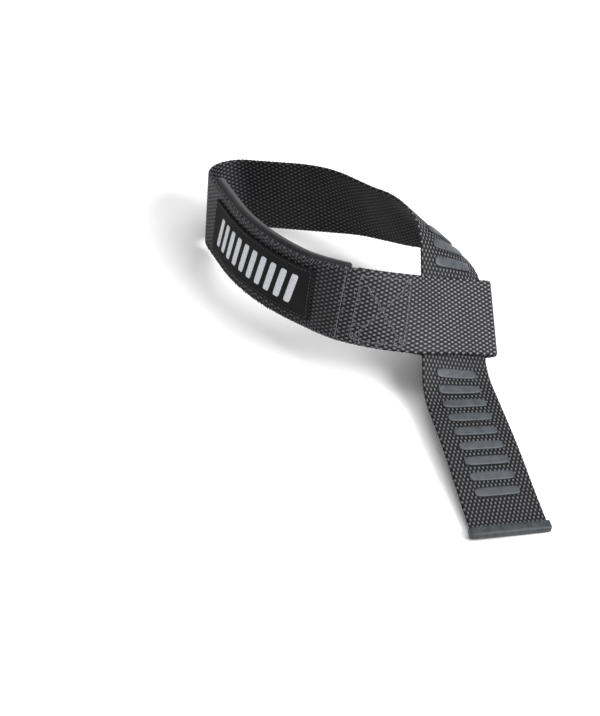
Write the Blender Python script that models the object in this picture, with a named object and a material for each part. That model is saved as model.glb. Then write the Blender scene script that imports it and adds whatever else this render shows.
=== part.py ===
"""Weightlifting strap: one webbing strip led through its own small loop, with a wrist pad.

The strip is first a flat ribbon. s runs along it from the crossing, where the tail passes through
the small loop: below zero on the tail, above zero round the wrist. v runs across it and n out of
its outer face. A short table of bends then lays the ribbon as it rests on a surface.
"""

import math

import bpy
import numpy as np

MM = 0.001

# Webbing
STRAP_WIDTH = 38.0 * MM
STRAP_THICKNESS = 1.9 * MM
EDGE_ROUND = 0.55 * MM
TAIL_LENGTH = 127.0 * MM
WRIST_LENGTH = 382.0 * MM

# Small loop, measured along the strap from the crossing
FRONT_ROOM = 1.6 * MM
BACK_ROOM = 3.0 * MM
FOLD_CLEARANCE = 0.7 * MM
LEAD_LENGTH = 12.0 * MM
SEWN_LENGTH = 27.0 * MM
SEWN_GAP = 0.4 * MM

# Tail across the small loop, and how the crossing sits in space
CROSSING_SKEW = 5.0
CROSSING_HEADING = 96.8
CROSSING_RAKE = -35.5
CROSSING_ROLL = 26.9

# Wrist pad
PAD_LENGTH = 118.0 * MM
PAD_THICKNESS = 4.0 * MM
PAD_MARGIN = 1.5 * MM
PAD_EDGE_ROUND = 1.4 * MM
PAD_END_GAP = 3.0 * MM

# Label patch
LABEL_LENGTH = 88.0 * MM
LABEL_HEIGHT = 28.0 * MM
LABEL_THICKNESS = 1.0 * MM
LABEL_EDGE_ROUND = 0.4 * MM
LABEL_END_GAP = 17.5 * MM

# Silicone grip bars on the tail's outer face
BAR_LENGTH = 5.2 * MM
BAR_HEIGHT = 22.5 * MM
BAR_THICKNESS = 0.7 * MM
BAR_EDGE_ROUND = 0.5 * MM
BAR_PITCH = 9.4 * MM
BAR_FROM_TIP = 20.0 * MM
BAR_LAST = 60.0 * MM
BAR_LOOP_CLEARANCE = 4.0 * MM

# Tip cap
CAP_LENGTH = 5.5 * MM
CAP_WALL = 0.8 * MM
CAP_MARGIN = 1.0 * MM
CAP_CORNER = 1.6 * MM
CAP_EDGE_ROUND = 1.1 * MM

SEAT_GAP = 0.3 * MM

# Each bend: where its zone starts and how long it is, as shares of the length it lies on, the angle
# that it turns the strip inwards, and the angle of its axis to the strip's length.
WRIST_BENDS = [
    {"start": 0.052, "zone": 0.108, "turn": 95.0, "slant": 58.0},
    {"start": 0.160, "zone": 0.078, "turn": -21.0, "slant": 102.0},
    {"start": 0.236, "zone": 0.075, "turn": 34.0, "slant": 55.0},
    {"start": 0.426, "zone": 0.037, "turn": 56.0, "slant": 87.0},
    {"start": 0.471, "zone": 0.050, "turn": 76.0, "slant": 100.0},
    {"start": 0.606, "zone": 0.170, "turn": 31.0, "slant": 82.0},
    {"start": 0.780, "zone": 0.163, "turn": 90.0, "slant": 114.5},
    {"start": 0.890, "zone": 0.096, "turn": -18.0, "slant": 59.0},
]
TAIL_BENDS = [
    {"start": 0.172, "zone": 0.157, "turn": -40.0, "slant": 115.0},
    {"start": 0.446, "zone": 0.497, "turn": 11.0, "slant": 76.0},
    {"start": 0.750, "zone": 0.387, "turn": -15.5, "slant": 97.0},
]

# The share of the wrist length over which the last closing error of the loop is spread
CLOSING_FROM = 0.40
CLOSING_TO = 0.84

# How finely the bodies are cut into faces
COLUMNS = 9
PATCH_COLUMNS = 7
STATION_STEP = 2.9 * MM
FOLD_STEP = 1.4 * MM
PATCH_STEP = 4.0 * MM
BAR_STEP = 1.8 * MM
SHARP_ANGLE = 50.0
MOST_EASE = 0.45

HALF_WIDTH = STRAP_WIDTH / 2
HALF_THICKNESS = STRAP_THICKNESS / 2
FRONT_OFFSET = STRAP_THICKNESS + FRONT_ROOM
BACK_OFFSET = STRAP_THICKNESS + BACK_ROOM
FOLD_RADIUS = (FRONT_OFFSET + BACK_OFFSET) / 2
FOLD_REACH = HALF_WIDTH + FOLD_CLEARANCE
SEWN_OFFSET = STRAP_THICKNESS + SEWN_GAP
SEWN_END = FOLD_REACH + LEAD_LENGTH + SEWN_LENGTH
PAD_END = SEWN_END + PAD_END_GAP
LABEL_END = PAD_END + LABEL_END_GAP


def clear_scene():
    for obj in list(bpy.data.objects):
        bpy.data.objects.remove(obj, do_unlink=True)


def smooth_step(x):
    x = np.clip(x, 0.0, 1.0)
    return x * x * (3 - 2 * x)


def bend(points, flat_s, flat_v, row, length):
    """Wraps the strip round a cylinder whose axis lies across it at the row's slant.

    x = distance past the line where the zone starts, a = clip(x, 0, zone), radius = zone / turn:
    along = radius sin(a / radius) + rest cos(a / radius), up = radius (1 - cos) + rest sin.
    """
    start, zone = row["start"] * length, row["zone"] * length
    slant, turn = math.radians(row["slant"]), math.radians(row["turn"])
    axis = np.array([math.cos(slant), math.sin(slant), 0.0])
    ahead = np.array([math.sin(slant), -math.cos(slant), 0.0])
    origin = np.array([start, 0.0, 0.0])
    side = -1.0 if turn > 0 else 1.0
    radius = zone / abs(turn)
    past = (flat_s - start) * ahead[0] + flat_v * ahead[1]
    arc = np.clip(past, 0.0, zone)
    angle = arc / radius
    local = points - origin
    rest = local @ ahead - arc
    height = local[:, 2]
    along = radius * np.sin(angle) + rest * np.cos(angle) - side * height * np.sin(angle)
    lift = side * (radius * (1 - np.cos(angle)) + rest * np.sin(angle)) + height * np.cos(angle)
    up = np.array([0.0, 0.0, 1.0])
    return origin + np.outer(local @ axis, axis) + np.outer(along, ahead) + np.outer(lift, up)


def bend_all(points, rows, length):
    """Applies the bends from the far end back to the crossing."""
    flat_s, flat_v = points[:, 0].copy(), points[:, 1].copy()
    for row in sorted(rows, key=lambda one: -one["start"]):
        points = bend(points, flat_s, flat_v, row, length)
    return points


def wrist_frame(at):
    """The bent strip's point and axes at distance at from the crossing, before the loop is closed."""
    step = 1.0 * MM
    flat = np.array([[at, 0, 0], [at + step, 0, 0], [at, step, 0]])
    here, along, across = bend_all(flat, WRIST_BENDS, WRIST_LENGTH)
    s_axis, v_axis = (along - here) / step, (across - here) / step
    return here, np.stack([s_axis, v_axis, np.cross(s_axis, v_axis)], axis=1)


def closing_move():
    """The small rigid move that brings the strip's end exactly in front of the tail."""
    here, axes = wrist_frame(WRIST_LENGTH)
    skew = math.radians(CROSSING_SKEW)
    s_axis = np.array([math.sin(skew), -math.cos(skew), 0.0])
    v_axis = np.array([math.cos(skew), math.sin(skew), 0.0])
    target_axes = np.stack([s_axis, v_axis, np.cross(s_axis, v_axis)], axis=1)
    target = np.array([0.0, 0.0, FRONT_OFFSET])
    return here, target, target_axes @ np.linalg.inv(axes)


CLOSING = closing_move()


def crossing_axes():
    z, y, x = (math.radians(a) for a in (CROSSING_HEADING, CROSSING_RAKE, CROSSING_ROLL))
    about_z = np.array([[math.cos(z), -math.sin(z), 0], [math.sin(z), math.cos(z), 0], [0, 0, 1]])
    about_y = np.array([[math.cos(y), 0, math.sin(y)], [0, 1, 0], [-math.sin(y), 0, math.cos(y)]])
    about_x = np.array([[1, 0, 0], [0, math.cos(x), -math.sin(x)], [0, math.sin(x), math.cos(x)]])
    return about_z @ about_y @ about_x


def place(s, v, n):
    """Carries flat strip coordinates to space."""
    flat = np.stack(np.broadcast_arrays(s, v, n), axis=-1).astype(float).reshape(-1, 3)
    placed = np.empty_like(flat)
    tail = flat[:, 0] < 0
    turned = flat[tail] * np.array([-1.0, -1.0, 1.0])
    placed[tail] = bend_all(turned, TAIL_BENDS, TAIL_LENGTH) * np.array([-1.0, -1.0, 1.0])
    wrist = bend_all(flat[~tail], WRIST_BENDS, WRIST_LENGTH)
    here, target, turn = CLOSING
    share = (flat[~tail, 0] / WRIST_LENGTH - CLOSING_FROM) / (CLOSING_TO - CLOSING_FROM)
    moved = (wrist - here) @ turn.T + target
    placed[~tail] = wrist + smooth_step(share)[:, None] * (moved - wrist)
    return placed @ crossing_axes().T


def strip_path(t):
    """Flat (s, n, heading) at distance t along the strip: straight, half a turn, then the return."""
    fold_start = WRIST_LENGTH + FOLD_REACH
    half_turn = math.pi * FOLD_RADIUS
    if t <= fold_start:
        return t, 0.0, 0.0
    if t <= fold_start + half_turn:
        angle = (t - fold_start) / FOLD_RADIUS
        return (
            fold_start + FOLD_RADIUS * math.sin(angle),
            -FOLD_RADIUS * (1 - math.cos(angle)),
            -angle,
        )
    back = t - fold_start - half_turn
    share = (back - 2 * FOLD_REACH) / LEAD_LENGTH
    offset = -2 * FOLD_RADIUS + (2 * FOLD_RADIUS - SEWN_OFFSET) * float(smooth_step(share))
    return fold_start - back, offset, -math.pi


def section(half_width, bottom, top, edge_round, columns=COLUMNS):
    """A closed outline of (v, n): a flat bar with its long edges eased."""
    inner = np.linspace(-half_width + edge_round, half_width - edge_round, columns - 2)
    v = np.concatenate([[-half_width], inner, [half_width]])
    ease = np.zeros(columns)
    ease[[0, -1]] = min(edge_round, MOST_EASE * (top - bottom))
    upper = np.stack([v, top - ease], axis=1)
    lower = np.stack([v, bottom + ease], axis=1)[::-1]
    return np.concatenate([upper, lower])


def ring(outline, s, n=0.0, heading=0.0):
    """The outline placed across the strip at flat (s, n), square to the heading."""
    v, m = outline[:, 0], outline[:, 1]
    return place(s - math.sin(heading) * m, v, n + math.cos(heading) * m)


def loft(name, rings, colour, roughness):
    """A closed body through the rings, each of which runs along its top and back along its bottom."""
    count = len(rings[0])
    vertices = np.concatenate(rings)
    faces = []
    for i in range(len(rings) - 1):
        for j in range(count):
            k = (j + 1) % count
            faces.append((i * count + j, i * count + k, (i + 1) * count + k, (i + 1) * count + j))
    last = (len(rings) - 1) * count
    for j in range(count // 2 - 1):
        a, b, c, d = j, j + 1, count - 2 - j, count - 1 - j
        faces.append((d, c, b, a))
        faces.append((last + a, last + b, last + c, last + d))
    mesh = bpy.data.meshes.new(name)
    mesh.from_pydata([tuple(p) for p in vertices], [], faces)
    mesh.update()
    obj = bpy.data.objects.new(name, mesh)
    bpy.context.scene.collection.objects.link(obj)
    mesh.materials.append(plain_material(name, colour, roughness))
    face_out(mesh)
    return obj


def face_out(mesh):
    """Turns the faces round if the signed volume is negative."""
    mesh.calc_loop_triangles()
    points = np.array([v.co for v in mesh.vertices])
    corners = np.array([t.vertices for t in mesh.loop_triangles])
    a, b, c = (points[corners[:, i]] - points.mean(axis=0) for i in range(3))
    if np.einsum("ij,ij->i", a, np.cross(b, c)).sum() < 0:
        mesh.flip_normals()


def plain_material(name, colour, roughness):
    material = bpy.data.materials.new(name)
    material.use_nodes = True
    shader = material.node_tree.nodes["Principled BSDF"]
    shader.inputs["Base Color"].default_value = (*colour, 1.0)
    shader.inputs["Roughness"].default_value = roughness
    return material


def spread(first, last, step=STATION_STEP):
    return np.linspace(first, last, max(2, math.ceil(abs(last - first) / step) + 1))


def webbing_strap():
    outline = section(HALF_WIDTH, -HALF_THICKNESS, HALF_THICKNESS, EDGE_ROUND)
    fold_start = WRIST_LENGTH + FOLD_REACH
    half_turn = math.pi * FOLD_RADIUS
    end = fold_start + half_turn + 2 * FOLD_REACH + LEAD_LENGTH + SEWN_LENGTH
    stations = np.concatenate(
        [
            spread(-TAIL_LENGTH, fold_start),
            spread(fold_start, fold_start + half_turn, FOLD_STEP)[1:],
            spread(fold_start + half_turn, end)[1:],
        ]
    )
    rings = [ring(outline, *strip_path(t)) for t in stations]
    return loft("webbing_strap", rings, (0.055, 0.055, 0.06), 0.85)


def wrist_pad():
    top = -HALF_THICKNESS - SEAT_GAP
    half_width = HALF_WIDTH + PAD_MARGIN
    last = WRIST_LENGTH - PAD_END
    rings = []
    for s in spread(last - PAD_LENGTH, last, PATCH_STEP):
        to_end = min(s - (last - PAD_LENGTH), last - s)
        ease = PAD_EDGE_ROUND * (1 - float(smooth_step(to_end / (2 * PAD_EDGE_ROUND))))
        outline = section(half_width - ease, top - PAD_THICKNESS + ease, top, PAD_EDGE_ROUND)
        rings.append(ring(outline, s))
    return loft("wrist_pad", rings, (0.035, 0.035, 0.038), 0.9)


def label_patch():
    bottom = HALF_THICKNESS + SEAT_GAP
    top = bottom + LABEL_THICKNESS
    outline = section(LABEL_HEIGHT / 2, bottom, top, LABEL_EDGE_ROUND, PATCH_COLUMNS)
    last = WRIST_LENGTH - LABEL_END
    rings = [ring(outline, s) for s in spread(last - LABEL_LENGTH, last, PATCH_STEP)]
    return loft("label_patch", rings, (0.012, 0.012, 0.014), 0.8)


def grip_bars():
    """Bars across the tail's outer face, left out where the small loop covers them."""
    bottom = HALF_THICKNESS + SEAT_GAP
    top = bottom + BAR_THICKNESS
    outline = section(BAR_HEIGHT / 2, bottom, top, BAR_EDGE_ROUND, PATCH_COLUMNS)
    covered = HALF_WIDTH + BAR_LOOP_CLEARANCE + BAR_LENGTH / 2
    count = int((TAIL_LENGTH - BAR_FROM_TIP + BAR_LAST) / BAR_PITCH)
    centres = [BAR_FROM_TIP - TAIL_LENGTH + BAR_LENGTH / 2 + BAR_PITCH * i for i in range(count)]
    bars = []
    for centre in centres:
        if abs(centre) < covered:
            continue
        first, last = centre - BAR_LENGTH / 2, centre + BAR_LENGTH / 2
        rings = [ring(outline, s) for s in spread(first, last, BAR_STEP)]
        bars.append(loft(f"grip_bar_{len(bars) + 1:02d}", rings, (0.095, 0.105, 0.115), 0.45))
    return bars


def tip_cap():
    """A thin sleeve over the tail's cut end: pocket floor, rim, then the outside to the tip."""
    room = HALF_THICKNESS + SEAT_GAP
    pocket = section(HALF_WIDTH + SEAT_GAP, -room, room, EDGE_ROUND)
    half_width, top = HALF_WIDTH + CAP_MARGIN, room + CAP_WALL
    tip_top = room + CAP_WALL / 2
    outside = section(half_width, -top, top, CAP_EDGE_ROUND)
    corner = section(half_width - CAP_CORNER, -tip_top, tip_top, EDGE_ROUND)
    floor = -TAIL_LENGTH - SEAT_GAP
    tip = floor - CAP_WALL - CAP_CORNER
    rim = tip + CAP_LENGTH
    rings = [
        ring(pocket, floor),
        ring(pocket, rim),
        ring(outside, rim),
        ring(outside, tip + CAP_CORNER),
        ring(corner, tip),
    ]
    return loft("tip_cap", rings, (0.09, 0.095, 0.10), 0.4)


def seat_on_ground(objects):
    """Moves everything so that the box's centre is on the Z axis and its bottom at zero."""
    points = np.concatenate([[v.co[:] for v in obj.data.vertices] for obj in objects])
    low, high = points.min(axis=0), points.max(axis=0)
    shift = np.array([-(low[0] + high[0]) / 2, -(low[1] + high[1]) / 2, -low[2]])
    for obj in objects:
        for vertex in obj.data.vertices:
            vertex.co = np.array(vertex.co) + shift
        obj.data.shade_smooth()
        obj.data.set_sharp_from_angle(angle=math.radians(SHARP_ANGLE))


clear_scene()
seat_on_ground([webbing_strap(), wrist_pad(), label_patch(), *grip_bars(), tip_cap()])
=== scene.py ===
# %% [markdown]
# # A padded lifting strap in webbing
# The solids of the strap come in as a fixed frame. This script dresses them: woven webbing with a
# real relief, a fabric-faced pad, a sewn label patch, silicone grip bars, a dipped tip and all the
# sewing thread. One idea carries every piece. The strap is a flat ribbon first, with t along it and
# v across it, and one function lays flat points in space. A piece that is drawn flat, such as a
# stitch or a label, then lands on the bent strap by itself.

# %% Load the frame
import math

import bpy
import numpy as np
from mathutils import Matrix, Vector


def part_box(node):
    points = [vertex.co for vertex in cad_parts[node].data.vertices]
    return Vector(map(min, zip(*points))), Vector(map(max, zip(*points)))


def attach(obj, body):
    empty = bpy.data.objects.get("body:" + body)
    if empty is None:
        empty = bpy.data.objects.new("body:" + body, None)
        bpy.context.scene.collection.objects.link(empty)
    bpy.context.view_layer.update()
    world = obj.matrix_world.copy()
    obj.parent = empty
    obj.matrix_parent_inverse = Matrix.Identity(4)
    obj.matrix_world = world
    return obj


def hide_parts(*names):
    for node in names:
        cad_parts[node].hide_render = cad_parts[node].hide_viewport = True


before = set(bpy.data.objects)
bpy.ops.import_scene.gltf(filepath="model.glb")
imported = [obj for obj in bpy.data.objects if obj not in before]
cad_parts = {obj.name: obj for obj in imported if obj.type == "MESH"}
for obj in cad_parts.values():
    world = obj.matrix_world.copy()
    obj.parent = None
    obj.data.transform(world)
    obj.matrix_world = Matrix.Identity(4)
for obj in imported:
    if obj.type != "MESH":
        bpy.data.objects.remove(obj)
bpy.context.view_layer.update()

MM = 0.001

# %% [markdown]
# ## Sizes of the ribbon
# These are the sizes of the modelled solids, in metres. Distance along the strap is zero where the
# tail passes through the small loop, below zero on the tail and above zero round the wrist. The end
# of the strip folds back behind the front band and is sewn to it, which makes the small loop. Sizes
# that follow from others are worked out here, so that none has to be typed twice.

# %% Sizes of the strap
STRAP_WIDTH = 38.0 * MM
STRAP_THICKNESS = 1.9 * MM
TAIL_LENGTH = 127.0 * MM
WRIST_LENGTH = 382.0 * MM
FRONT_ROOM = 1.6 * MM
BACK_ROOM = 3.0 * MM
FOLD_CLEARANCE = 0.7 * MM
LEAD_LENGTH = 12.0 * MM
SEWN_LENGTH = 27.0 * MM
SEWN_GAP = 0.4 * MM
SEAT_GAP = 0.3 * MM

HALF_WIDTH = STRAP_WIDTH / 2
HALF_THICKNESS = STRAP_THICKNESS / 2
FACE_SEAT = HALF_THICKNESS + SEAT_GAP
FRONT_OFFSET = STRAP_THICKNESS + FRONT_ROOM
FOLD_RADIUS = STRAP_THICKNESS + (FRONT_ROOM + BACK_ROOM) / 2
FOLD_REACH = HALF_WIDTH + FOLD_CLEARANCE
FOLD_START = WRIST_LENGTH + FOLD_REACH
HALF_TURN = math.pi * FOLD_RADIUS
SEWN_OFFSET = STRAP_THICKNESS + SEWN_GAP
SEWN_END = FOLD_REACH + LEAD_LENGTH + SEWN_LENGTH
STRAP_END = FOLD_START + HALF_TURN + 2 * FOLD_REACH + LEAD_LENGTH + SEWN_LENGTH
print("webbing in all, mm:", round((STRAP_END + TAIL_LENGTH) / MM))

# %% [markdown]
# ## Bends
# Webbing bends but doesn't stretch, so its shape is a list of bends, each a piece of a cylinder.
# A row says where the bend starts and how long it is, as shares of the length it lies on, how far it
# turns and how its axis slants across the strip. The slanted ones give the twist that a strap takes
# when it is thrown down. A spline through points in space would be easier to draw, but it would
# stretch one edge against the other and the weave would smear.

# %% The list of bends
WRIST_BENDS = [
    {"start": 0.052, "zone": 0.108, "turn": 95.0, "slant": 58.0},
    {"start": 0.160, "zone": 0.078, "turn": -21.0, "slant": 102.0},
    {"start": 0.236, "zone": 0.075, "turn": 34.0, "slant": 55.0},
    {"start": 0.426, "zone": 0.037, "turn": 56.0, "slant": 87.0},
    {"start": 0.471, "zone": 0.050, "turn": 76.0, "slant": 100.0},
    {"start": 0.606, "zone": 0.170, "turn": 31.0, "slant": 82.0},
    {"start": 0.780, "zone": 0.163, "turn": 90.0, "slant": 114.5},
    {"start": 0.890, "zone": 0.096, "turn": -18.0, "slant": 59.0},
]
TAIL_BENDS = [
    {"start": 0.172, "zone": 0.157, "turn": -40.0, "slant": 115.0},
    {"start": 0.446, "zone": 0.497, "turn": 11.0, "slant": 76.0},
    {"start": 0.750, "zone": 0.387, "turn": -15.5, "slant": 97.0},
]
print("the wrist part turns by", sum(row["turn"] for row in WRIST_BENDS), "degrees in all")


# %% Bend a flat ribbon
def smooth_step(x):
    """3 x squared minus 2 x cubed, held at 0 below 0 and at 1 above 1."""
    x = np.clip(x, 0.0, 1.0)
    return x * x * (3 - 2 * x)


def bend(points, flat, row, length):
    """Wraps points round a cylinder whose axis lies across the strip at the row's slant.

    past = distance beyond the start line, arc = past held between 0 and the zone, angle = arc over
    radius. Along = radius sin(angle) + rest cos(angle), up = radius (1 - cos) + rest sin.
    """
    start, zone = row["start"] * length, row["zone"] * length
    slant, turn = math.radians(row["slant"]), math.radians(row["turn"])
    axis = np.array([math.cos(slant), math.sin(slant), 0.0])
    ahead = np.array([math.sin(slant), -math.cos(slant), 0.0])
    side, radius = (-1.0 if turn > 0 else 1.0), zone / abs(turn)
    past = (flat[:, 0] - start) * ahead[0] + flat[:, 1] * ahead[1]
    arc = np.clip(past, 0.0, zone)
    sine, cosine = np.sin(arc / radius), np.cos(arc / radius)
    local = points - np.array([start, 0.0, 0.0])
    rest, height = local @ ahead - arc, local[:, 2]
    along = radius * sine + rest * cosine - side * height * sine
    lift = side * (radius * (1 - cosine) + rest * sine) + height * cosine
    bent = np.outer(local @ axis, axis) + np.outer(along, ahead)
    bent[:, 0] += start
    bent[:, 2] += lift
    return bent


def bend_all(flat, rows, length):
    """All bends, from the far end back to the crossing."""
    points = flat
    for row in sorted(rows, key=lambda one: -one["start"]):
        points = bend(points, flat, row, length)
    return points


wrist_end = bend_all(np.array([[WRIST_LENGTH, 0.0, 0.0]]), WRIST_BENDS, WRIST_LENGTH)[0]
print("bent, the wrist part ends this far from the crossing, mm:", np.round(wrist_end / MM, 1))

# %% [markdown]
# ## Closing the loop
# The wrist part comes back to the crossing in front of the tail. Bends alone leave it a little off,
# as printed above. A last small turn and move, spread softly over the front band, closes the loop
# exactly there. It could be closed by tuning the bends, but then any new size would open it again.

# %% The closing move
CROSSING_SKEW = 5.0
CLOSING_SHARES = (0.40, 0.84)


def axes_of(here, along, across):
    """Unit axes along, across and out of the strip, from a point and two close to it."""
    s_axis = (along - here) / np.linalg.norm(along - here)
    v_axis = (across - here) / np.linalg.norm(across - here)
    return np.stack([s_axis, v_axis, np.cross(s_axis, v_axis)], axis=1)


def closing_move():
    """Where the wrist part ends, where it should end, and the turn between the two."""
    probe = np.array([[WRIST_LENGTH, 0, 0], [WRIST_LENGTH + MM, 0, 0], [WRIST_LENGTH, MM, 0]])
    here, along, across = bend_all(probe, WRIST_BENDS, WRIST_LENGTH)
    skew = math.radians(CROSSING_SKEW)
    target = np.array([0.0, 0.0, FRONT_OFFSET])
    goal = axes_of(
        np.zeros(3),
        np.array([math.sin(skew), -math.cos(skew), 0.0]),
        np.array([math.cos(skew), math.sin(skew), 0.0]),
    )
    return here, target, goal @ np.linalg.inv(axes_of(here, along, across))


CLOSING = closing_move()
print("the loop closes by, mm:", np.round((CLOSING[1] - CLOSING[0]) / MM, 2))

# %% [markdown]
# ## Laying points in space
# Three turns give the way the crossing lies on the floor. After them the ribbon only has to be moved
# onto the solids. That move is read from the box of the webbing's solid, so the two always agree.

# %% Lay flat points in space
CROSSING_TURNS = (96.8, -35.5, 26.9)
PROBE_COLUMNS = 9
PROBE_ROWS = 400


def turned(degrees, axis):
    """The matrix that turns by so many degrees about X (0), Y (1) or Z (2)."""
    cosine, sine = math.cos(math.radians(degrees)), math.sin(math.radians(degrees))
    matrix = np.eye(3)
    a, b = [(1, 2), (2, 0), (0, 1)][axis]
    matrix[a, a] = matrix[b, b] = cosine
    matrix[b, a], matrix[a, b] = sine, -sine
    return matrix


LIE = turned(CROSSING_TURNS[0], 2) @ turned(CROSSING_TURNS[1], 1) @ turned(CROSSING_TURNS[2], 0)
SHIFT = np.zeros(3)


def lay(s, v, n):
    """Carries flat (s, v, n) to space: tail bends below s = 0, wrist bends above it."""
    s, v, n = np.broadcast_arrays(s, v, n)
    flat = np.stack([s, v, n], axis=-1).astype(float).reshape(-1, 3)
    placed = np.empty_like(flat)
    tail = flat[:, 0] < 0
    mirror = np.array([-1.0, -1.0, 1.0])
    placed[tail] = bend_all(flat[tail] * mirror, TAIL_BENDS, TAIL_LENGTH) * mirror
    wrist = bend_all(flat[~tail], WRIST_BENDS, WRIST_LENGTH)
    here, target, turn = CLOSING
    first, last = CLOSING_SHARES
    share = smooth_step((flat[~tail, 0] / WRIST_LENGTH - first) / (last - first))[:, None]
    placed[~tail] = wrist + share * ((wrist - here) @ turn.T + target - wrist)
    return (placed @ LIE.T + SHIFT).reshape(*s.shape, 3)


def strip_path(t):
    """Flat (s, n, heading) at distance t along the strip: straight, half a turn, then the return."""
    t = np.asarray(t, float)
    angle = np.clip((t - FOLD_START) / FOLD_RADIUS, 0.0, math.pi)
    back = np.clip(t - FOLD_START - HALF_TURN, 0.0, None)
    share = smooth_step((back - 2 * FOLD_REACH) / LEAD_LENGTH)
    s = np.minimum(t, FOLD_START) + FOLD_RADIUS * np.sin(angle) - back
    n = -FOLD_RADIUS * (1 - np.cos(angle)) + (2 * FOLD_RADIUS - SEWN_OFFSET) * share
    return s, n, -angle


def lay_on(t, v, m):
    """A point m above the strip's middle surface, t along it and v across it."""
    t, v, m = np.broadcast_arrays(t, v, m)
    s, n, heading = strip_path(t)
    return lay(s - np.sin(heading) * m, v, n + np.cos(heading) * m)


def find_shift():
    """The move that brings this ribbon's box onto the box of the webbing's solid."""
    t = np.linspace(-TAIL_LENGTH, STRAP_END, PROBE_ROWS)[:, None, None]
    v = np.linspace(-HALF_WIDTH, HALF_WIDTH, PROBE_COLUMNS)[None, :, None]
    m = np.array([-HALF_THICKNESS, HALF_THICKNESS])[None, None, :]
    points = lay_on(t, v, m).reshape(-1, 3)
    low, high = (np.array(corner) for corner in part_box("webbing_strap"))
    return (low + high) / 2 - (points.min(axis=0) + points.max(axis=0)) / 2


SHIFT = find_shift()
print("moved onto the solids by, mm:", np.round(SHIFT / MM, 2))

# %% [markdown]
# ## From grid to mesh
# Every piece is one or more grids of points. The faces of a grid follow from its row and column
# numbers, so no point is ever placed by hand. UV coordinates are written in metres along and
# across the strap, which keeps thread sizes real in the materials. Modelling by extrusion would do
# for one piece, but not for hundreds of stitches that follow the same bends.

# %% Faces of a grid
def grid_faces(rows, columns, wrap):
    """Quads of a grid, whose columns may close on themselves."""
    i = np.arange(rows - 1)[:, None] * columns
    j = np.arange(columns if wrap else columns - 1)[None, :]
    k = (j + 1) % columns
    corners = np.broadcast_arrays(i + j, i + k, i + columns + k, i + columns + j)
    return np.stack(corners, axis=-1).reshape(-1, 4)


def cap_faces(rows, columns):
    """Quads across both end rings of a wrapped grid, from each point to the one across from it."""
    j = np.arange(columns // 2 - 1)
    across = np.stack([columns - 1 - j, columns - 2 - j, j + 1, j], axis=-1)
    return np.concatenate([across, across[:, ::-1] + (rows - 1) * columns])


def tube_faces(rows, columns):
    """A wrapped grid with both its ends closed."""
    return np.concatenate([grid_faces(rows, columns, True), cap_faces(rows, columns)])


def repeat_faces(faces, copies, points_each):
    """The same faces for each of several copies laid one after another in the point array."""
    return (faces[None] + (np.arange(copies) * points_each)[:, None, None]).reshape(-1, 4)


print("a closed tube of 3 rings of 8 points has", len(tube_faces(3, 8)), "faces")


# %% Points and faces to an object
def volume_of(points, faces):
    """Six times the signed volume: the sum of corner . (corner x corner) over each quad's halves."""
    a, b, c, d = (points[faces[:, i]] - points.mean(axis=0) for i in range(4))
    halves = np.einsum("ij,ij->i", a, np.cross(b, c)) + np.einsum("ij,ij->i", a, np.cross(c, d))
    return halves.sum()


def make_piece(name, points, uv, faces, material, replaced=()):
    """A mesh object from arrays, faces out, that rides on the strap and stands for its solids."""
    points, uv = points.reshape(-1, 3), uv.reshape(-1, 2)
    if volume_of(points, faces) < 0:
        faces = faces[:, ::-1]
    mesh = bpy.data.meshes.new(name)
    mesh.vertices.add(len(points))
    mesh.vertices.foreach_set("co", points.ravel().astype(np.float32))
    mesh.loops.add(faces.size)
    mesh.loops.foreach_set("vertex_index", faces.ravel().astype(np.int32))
    mesh.polygons.add(len(faces))
    mesh.polygons.foreach_set("loop_start", np.arange(0, faces.size, 4, dtype=np.int32))
    mesh.update(calc_edges=True)
    layer = mesh.uv_layers.new(name="flat")
    layer.data.foreach_set("uv", uv[faces.ravel()].ravel().astype(np.float32))
    mesh.materials.append(material)
    mesh.shade_smooth()
    obj = bpy.data.objects.new(name, mesh)
    bpy.context.scene.collection.objects.link(obj)
    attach(obj, "root")
    if replaced:
        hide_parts(*replaced)
    print(name, len(faces), "faces")
    return obj


# %% [markdown]
# ## Material helpers
# A material is a small calculation on UV coordinates. These helpers write it like a formula: waves
# for what is woven or twisted, noise for what is uneven, and a ramp from a value to a colour. An
# image of cloth would be quicker, but its threads would not meet the threads of the relief.

# %% Node helpers
def new_material(name, roughness, specular):
    """A material with its tree and its Principled shader."""
    material = bpy.data.materials.new(name)
    material.use_nodes = True
    tree = material.node_tree
    shader = tree.nodes["Principled BSDF"]
    shader.inputs["Roughness"].default_value = roughness
    shader.inputs["Specular IOR Level"].default_value = specular
    return material, tree, shader


def calc(tree, operation, *values):
    """One Math node. Each value is a number or another node's output."""
    node = tree.nodes.new("ShaderNodeMath")
    node.operation = operation
    for socket, value in zip(node.inputs, values):
        if isinstance(value, (int, float)):
            socket.default_value = value
        else:
            tree.links.new(value, socket)
    return node.outputs[0]


def times(tree, one, other):
    return calc(tree, "MULTIPLY", one, other)


def plus(tree, one, other):
    return calc(tree, "ADD", one, other)


def wave(tree, value, pitch):
    """The sine that repeats every pitch metres."""
    return calc(tree, "SINE", times(tree, value, 2 * math.pi / pitch))


def flat_coordinates(tree):
    """The UV map, and from it the metres along and across the strap."""
    uv = tree.nodes.new("ShaderNodeUVMap")
    uv.uv_map = "flat"
    split = tree.nodes.new("ShaderNodeSeparateXYZ")
    tree.links.new(uv.outputs[0], split.inputs[0])
    return uv.outputs[0], split.outputs[0], split.outputs[1]


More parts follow.
